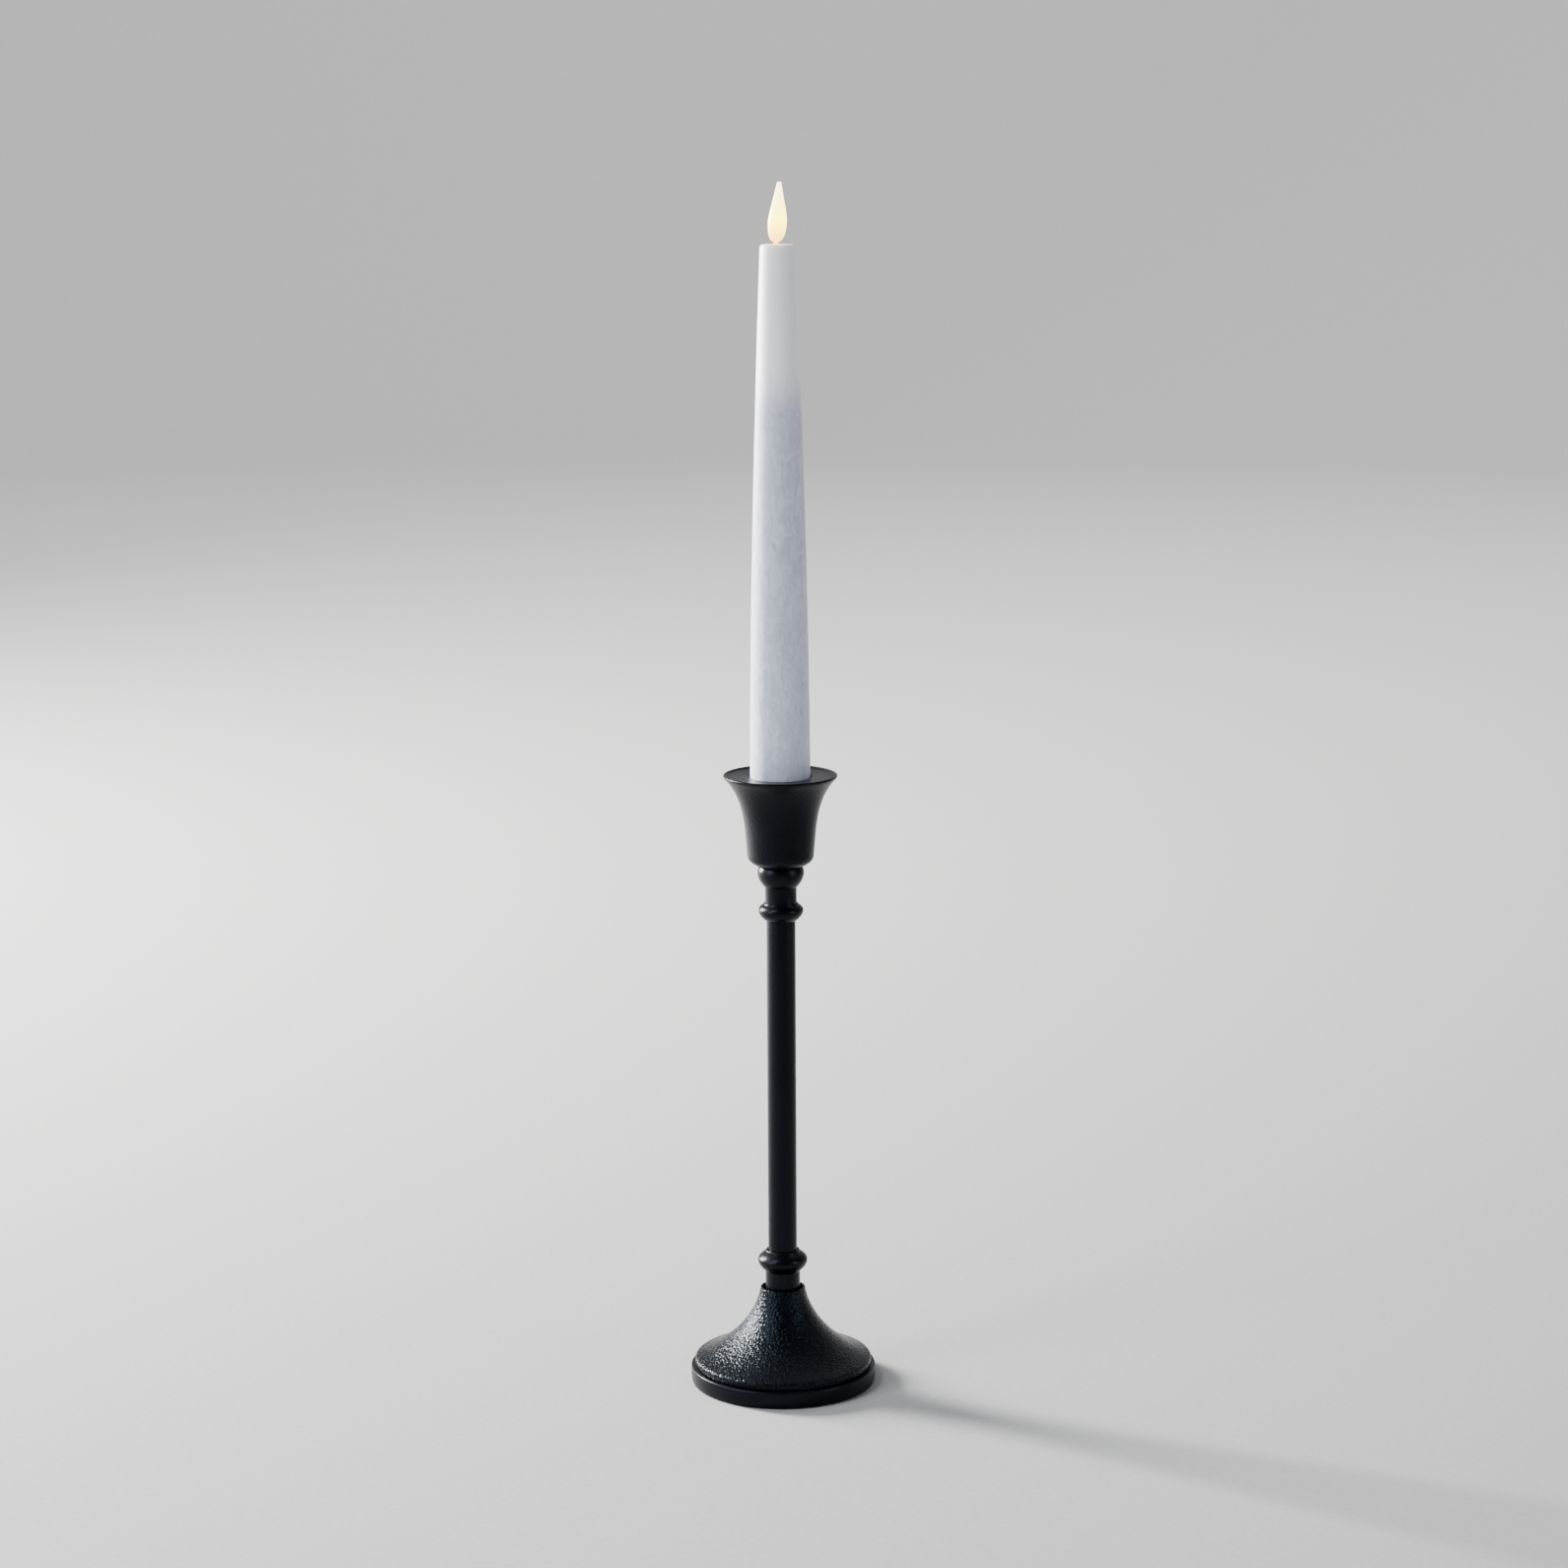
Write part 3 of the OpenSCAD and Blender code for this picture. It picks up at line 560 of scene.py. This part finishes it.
def wax_shell(mat):
    """The taper: straight in the cup, then narrowing ever faster, with a rounded top round the neck."""
    low, high = box_mm("wax_shell")
    rim = box_mm("candle_cup")[1].z
    core_high = box_mm("core_tube")[1]
    foot_r, tip_r, power, shoulder = high.x, 6.35, 1.6, 1.3
    hole = 1.45
    foot, top = low.z, high.z
    edge = top - shoulder

    def wax_r(z):
        if z <= rim:
            return foot_r
        return foot_r - (foot_r - tip_r) * ((z - rim) / (top - rim)) ** power

    inner_foot = core_high.x + 0.05
    # (radius, height, sideways shift) of each ring
    rings = [(inner_foot, foot, 0), (foot_r - 0.5, foot, 0), (foot_r - 0.15, foot + 0.12, 0),
             (foot_r - 0.02, foot + 0.5, 0)]
    steps = 150
    for i in range(1, steps + 1):
        z = foot + 0.5 + (edge - foot - 0.5) * i / steps
        rings.append((wax_r(z), z, 0))
    for a in range(9, 90, 9):
        t = math.radians(a)
        rings.append((wax_r(edge) - shoulder * (1 - math.cos(t)), edge + shoulder * math.sin(t), 0))
    flat = wax_r(edge) - shoulder
    for i in range(0, 9):
        t = i / 8
        r = flat + (hole + 0.25 - flat) * t
        rings.append((r, top - 0.22 * t * t, NECK_X * t))
    rings += [(hole + 0.06, top - 0.32, NECK_X), (hole, top - 0.5, NECK_X),
              (hole, core_high.z + 0.05, NECK_X)]
    # the bore over the core tube
    bend = 320.0
    inner_top = core_high.z + 0.05

    def core_r(z):
        if z >= bend:
            return wax_r(z) - 1.4
        t = (z - foot) / (bend - foot)
        return (foot_r - 2) * (1 - t) + (wax_r(bend) - 1.4) * t

    for i in range(0, 41):
        z = inner_top + (foot - inner_top) * i / 40
        rings.append((core_r(min(z, core_high.z)) + 0.05, z, 0))
    rings.pop()

    def ripple(a, z, r):
        """Slow waves in the radius of drawn wax, none where it sits in the cup or near the core."""
        p = Vector((math.cos(a) * 0.9, math.sin(a) * 0.9, z / 34))
        wave = 0.035 * noise.noise(p * 1.7) + 0.012 * noise.noise(p * 6)
        fade = min(1.0, max(0.0, (z - rim) / 12)) * min(1.0, max(0.0, (top - z) / 6))
        return (wave - 0.03) * fade if r > core_r(z) + 0.5 else 0.0

    skin = []
    for r, z, cx in rings:
        ring = []
        for k in range(SEGMENTS):
            a = TURN * k / SEGMENTS
            rr = r + ripple(a, z, r)
            ring.append(Vector((cx + rr * math.cos(a), rr * math.sin(a), z)) * MM)
        skin.append(ring)
    return finish_mesh("wax_shell_poured", rings_mesh(skin, True), "taper", ["wax_shell"], mat)


def flame_lens(mat):
    """A drop-shaped light guide whose spine curves from its off-centre neck up to a blunt, leaning tip."""
    high = box_mm("flame_lens")[1]
    wax_top = box_mm("wax_shell")[1].z
    tall = high.z - wax_top
    neck_r, belly_r, tip_r = 0.7, 3.34, 0.86
    foot, belly, tip = -3.0, 0.355 * tall, tall - tip_r
    lean = 1.32

    def spine(h):
        """Sideways place of the axis at a height above the wax."""
        if h <= 0:
            return NECK_X
        t = min(1.0, h / tall)
        return NECK_X + lean * t ** 0.8

    lower = curve((neck_r, 0.8), (2.1, 0.9), (belly_r, 0.38 * belly), (belly_r, belly), 26)
    upper = curve((belly_r, belly), (belly_r, belly + 2.6), (1.9, tip - 5.6), (tip_r, tip - 0.1), 34)
    outline = [(0.5, foot), (neck_r - 0.1, foot), (neck_r, foot + 0.1), (neck_r, -1.5)] + lower + upper[1:]
    outline += [(tip_r * math.cos(math.radians(a)), tip + tip_r * math.sin(math.radians(a)))
                for a in range(12, 90, 12)]
    outline += [(0, tall)]
    # the bore for the leads and the lamp
    lamp_top = box_mm("led_lamp")[1].z - wax_top
    bore = [(0, lamp_top + 0.15), (0.8, lamp_top - 0.15), (1.36, lamp_top - 1.2),
            (1.36, 4.9), (1.62, 4.85), (1.62, 3.95), (0.5, 3.9), (0.5, 0)]

    def ring(r, h):
        x, z = spine(h), (wax_top + h)
        if r < 1e-6:
            return [Vector((x, 0, z)) * MM]
        turns = [TURN * k / LENS_SEGMENTS for k in range(LENS_SEGMENTS)]
        return [Vector((x + r * math.cos(a), r * math.sin(a), z)) * MM for a in turns]

    bm = rings_mesh([ring(r, h) for r, h in bore + outline], False, LENS_SEGMENTS)
    return finish_mesh("flame_lens_moulded", bm, "taper", ["flame_lens"], mat)


def flame_socket(mat):
    """Dark sleeve round the flame's neck, ending just below the top of the wax."""
    low, high = box_mm("flame_socket")
    lens_low = box_mm("flame_lens")[0]
    bore, sleeve_r = 0.78, 1.35
    shelf, flange = low.z + 4, low.z + 5.2
    outline = rounded([
        (1.1, low.z), (2.0, low.z, 0.15), (2.0, shelf, 0.05), (2.9, shelf, 0.1), (2.9, flange, 0.1),
        (sleeve_r, flange, 0.05), (sleeve_r, high.z, 0.15), (bore, high.z, 0.1),
        (bore, lens_low.z - 0.1), (1.1, lens_low.z - 0.1)], 0)
    bm = lathe(outline, closed=True, shift=lambda z, i: (NECK_X, 0.0), segments=64)
    return finish_mesh("flame_socket_moulded", bm, "taper", ["flame_socket"], mat)


def tube_along(name, points, radius, sides, body, replaced, mat):
    """A round wire through a smooth path."""
    bm = bmesh.new()
    loops = []
    for i, p in enumerate(points):
        way = (points[min(i + 1, len(points) - 1)] - points[max(i - 1, 0)]).normalized()
        across = way.cross(Vector((0, 1, 0)) if abs(way.z) > 0.9 else Vector((0, 0, 1))).normalized()
        up = way.cross(across)
        turns = [TURN * k / sides for k in range(sides)]
        loops.append([bm.verts.new(p + radius * (math.cos(a) * across + math.sin(a) * up)) for a in turns])
    for a, b in zip(loops, loops[1:]):
        for k in range(sides):
            bm.faces.new([a[k], a[(k + 1) % sides], b[(k + 1) % sides], b[k]])
    bm.faces.new(loops[0])
    bm.faces.new(list(reversed(loops[-1])))
    return finish_mesh(name, bm, body, replaced, mat, sharp=math.radians(60))


def negative_spring(mat):
    """Conical contact spring, drawn as the cell holds it."""
    low, high = box_mm("negative_spring")
    wire = 0.28
    turns, steps = 4.0, 260
    points = []
    for i in range(steps + 1):
        t = i / steps
        a = TURN * turns * t
        r = 4.0 - 1.5 * t
        z = low.z + 0.3 + (high.z - low.z - 0.6) * t
        points.append(Vector((r * math.cos(a), r * math.sin(a), z)) * MM)
    return tube_along("negative_spring_wound", points, wire * MM, 12, "tray", ["negative_spring"],
                      mat)


# ---------------------------------------------------------------- materials on every node

z = {name: box_mm(name) for name in ("wax_shell", "flame_lens", "lower_cell", "board_carrier")}
cast = black_metal("black_metal_cast", 1.0, 0.25, rgb(0.60, 0.80, 1.0))
turned = black_metal("black_metal_turned", 0.12, 0.30, rgb(0.76, 0.80, 1.0))
spun = black_metal("black_metal_spun", 0.30, 0.31, rgb(0.76, 0.80, 1.0))
wax = wax_material(z["board_carrier"][1].z * MM, z["wax_shell"][1].z * MM)
flame = flame_material(z["wax_shell"][1].z * MM, z["flame_lens"][1].z * MM)
felt = felt_material()
ivory = moulded("ivory_plastic", rgb(0.72, 0.70, 0.64), rgb(0.64, 0.62, 0.55), thin=0.15)
core = moulded("core_plastic", rgb(0.70, 0.69, 0.66), rgb(0.62, 0.61, 0.57), 0.5, thin=0.15)
black_plastic = moulded("black_plastic", rgb(0.014, 0.014, 0.015), rgb(0.008, 0.008, 0.009), 0.4, 1.4)
zinc = bare_metal("zinc_steel", rgb(0.58, 0.59, 0.60), rgb(0.40, 0.41, 0.44), 0.34)
tinned = bare_metal("tinned_steel", rgb(0.68, 0.68, 0.69), rgb(0.52, 0.52, 0.54), 0.26, (1, 1, 0.08))
gilt = bare_metal("gilt_brass", rgb(0.83, 0.63, 0.28), rgb(0.60, 0.43, 0.18), 0.24, (1, 1, 0.1))
cell_length = (z["lower_cell"][1].z - z["lower_cell"][0].z) * MM
cell_sleeve = cell_material(z["lower_cell"][0].z * MM, cell_length)
board = board_material()
capacitor = moulded("capacitor_sleeve", rgb(0.012, 0.018, 0.035), rgb(0.02, 0.026, 0.045), 0.3, 0.5)
red = rubbery("red_insulation", rgb(0.42, 0.012, 0.012), rgb(0.30, 0.03, 0.02))
black_wire = rubbery("black_insulation", rgb(0.012, 0.012, 0.013), rgb(0.03, 0.03, 0.03))
LAMP_ABOVE_WAX = 3.5 * MM
lamp = lamp_material(z["wax_shell"][1].z * MM + LAMP_ABOVE_WAX)

CAD_MATERIALS = {
    "felt_pad": felt, "foot_plate": turned, "base_bell": cast, "lower_collar": turned, "stem_tube": turned,
    "upper_collar": turned, "cup_knop": turned, "candle_cup": spun, "tie_rod": zinc, "tie_nut": zinc,
    "tie_washer": zinc, "battery_tray": ivory, "switch_plate": ivory, "plate_screws": zinc,
    "switch_body": tinned, "switch_knob": black_plastic, "negative_plate": tinned, "negative_spring": tinned,
    "lower_cell": cell_sleeve, "upper_cell": cell_sleeve, "positive_contact": tinned, "return_strip": tinned,
    "wax_shell": wax, "core_tube": core, "board_carrier": ivory, "driver_board": board,
    "chip_blob": black_plastic, "quartz_crystal": tinned, "board_capacitor": capacitor,
    "chip_resistors": black_plastic, "positive_pin": gilt, "negative_pin": gilt, "positive_wire": red,
    "negative_wire": black_wire, "flame_socket": black_plastic, "led_lamp": lamp, "flame_lens": flame,
}
for name, mat in CAD_MATERIALS.items():
    mesh = nodes[name].data
    mesh.materials.clear()
    mesh.materials.append(mat)

foot_plate(turned)
base_bell(cast)
lower_collar(turned)
stem_tube(turned)
upper_collar(turned)
cup_knop(turned)
candle_cup(spun)
felt_pad(felt)
wax_shell(wax)
flame_lens(flame)
flame_socket(black_plastic)
negative_spring(tinned)


# ---------------------------------------------------------------- floor, light and camera

def floor():
    """A pale paper sweep: flat under the candlestick and curving up into a wall far away all round it."""
    flat_r, bend_r, wall_h = 3.6, 2.0, 3.0
    outline = [(0, 0), (0.5, 0), (1.5, 0), (flat_r, 0)]
    outline += [(flat_r + bend_r * math.sin(math.radians(a)), bend_r * (1 - math.cos(math.radians(a))))
                for a in range(6, 91, 6)]
    outline.append((flat_r + bend_r, bend_r + wall_h))
    bm = lathe([(r / MM, h / MM) for r, h in outline])
    for face in bm.faces:
        face.smooth = True
    mesh = bpy.data.meshes.new("paper_sweep")
    bm.to_mesh(mesh)
    bm.free()
    s = Shader("pale_paper")
    fibre = s.noise(420, 5, 0.7)
    s.set(Base_Color=s.mix(s.span(fibre, 0.35, 0.65), rgb(0.34, 0.338, 0.335), rgb(0.375, 0.372, 0.37)),
          Roughness=0.9, Specular_IOR_Level=0.15)
    mesh.materials.append(s.mat)
    sweep = bpy.data.objects.new("paper_sweep", mesh)
    bpy.context.scene.collection.objects.link(sweep)


def area_light(name, place, target, width, height, power, tint=(1, 1, 1)):
    light = bpy.data.lights.new(name, "AREA")
    light.shape = "RECTANGLE"
    light.size, light.size_y = width, height
    light.energy = power
    light.color = tint
    lamp_object = bpy.data.objects.new(name, light)
    lamp_object.location = place
    lamp_object.rotation_euler = (Vector(target) - Vector(place)).to_track_quat("-Z", "Y").to_euler()
    bpy.context.scene.collection.objects.link(lamp_object)


floor()
middle = (0.0, 0.0, 0.22)
area_light("key_softbox", (-1.55, 0.95, 0.78), middle, 0.34, 1.0, 270, (1.0, 0.985, 0.97))
area_light("left_panel", (-1.25, -0.75, 0.75), (0, 0, 0.25), 0.75, 1.2, 26, (0.86, 0.93, 1.0))
area_light("high_left_box", (-0.85, -0.55, 1.7), (0, 0, 0.2), 0.3, 0.3, 11, (0.95, 0.98, 1.0))
area_light("right_panel", (1.35, -0.7, 0.6), (0, 0, 0.25), 0.4, 1.2, 10.0, (0.85, 0.92, 1.0))
area_light("backdrop_wash", (0.0, 1.2, 2.8), (0.0, 4.8, 1.0), 3.0, 1.5, 330, (1.0, 1.0, 1.0))

world = bpy.data.worlds.new("studio")
world.use_nodes = True
world.node_tree.nodes["Background"].inputs["Color"].default_value = rgb(0.88, 0.92, 1.0)
world.node_tree.nodes["Background"].inputs["Strength"].default_value = 0.14
bpy.context.scene.world = world

CAMERA_DISTANCE = 1.329
CAMERA_HEIGHT = 0.4725
CAMERA_PITCH = math.radians(10.45)
CAMERA_ROLL = math.radians(-0.286)
CAMERA_SIDE = 0.00135
camera_data = bpy.data.cameras.new("camera")
camera_data.lens = 85.0
camera_data.sensor_width = 36.0
camera = bpy.data.objects.new("camera", camera_data)
camera.matrix_world = (Matrix.Translation((CAMERA_SIDE, -CAMERA_DISTANCE, CAMERA_HEIGHT))
                       @ Matrix.Rotation(math.pi / 2 - CAMERA_PITCH, 4, "X")
                       @ Matrix.Rotation(CAMERA_ROLL, 4, "Z"))
bpy.context.scene.collection.objects.link(camera)
bpy.context.scene.camera = camera
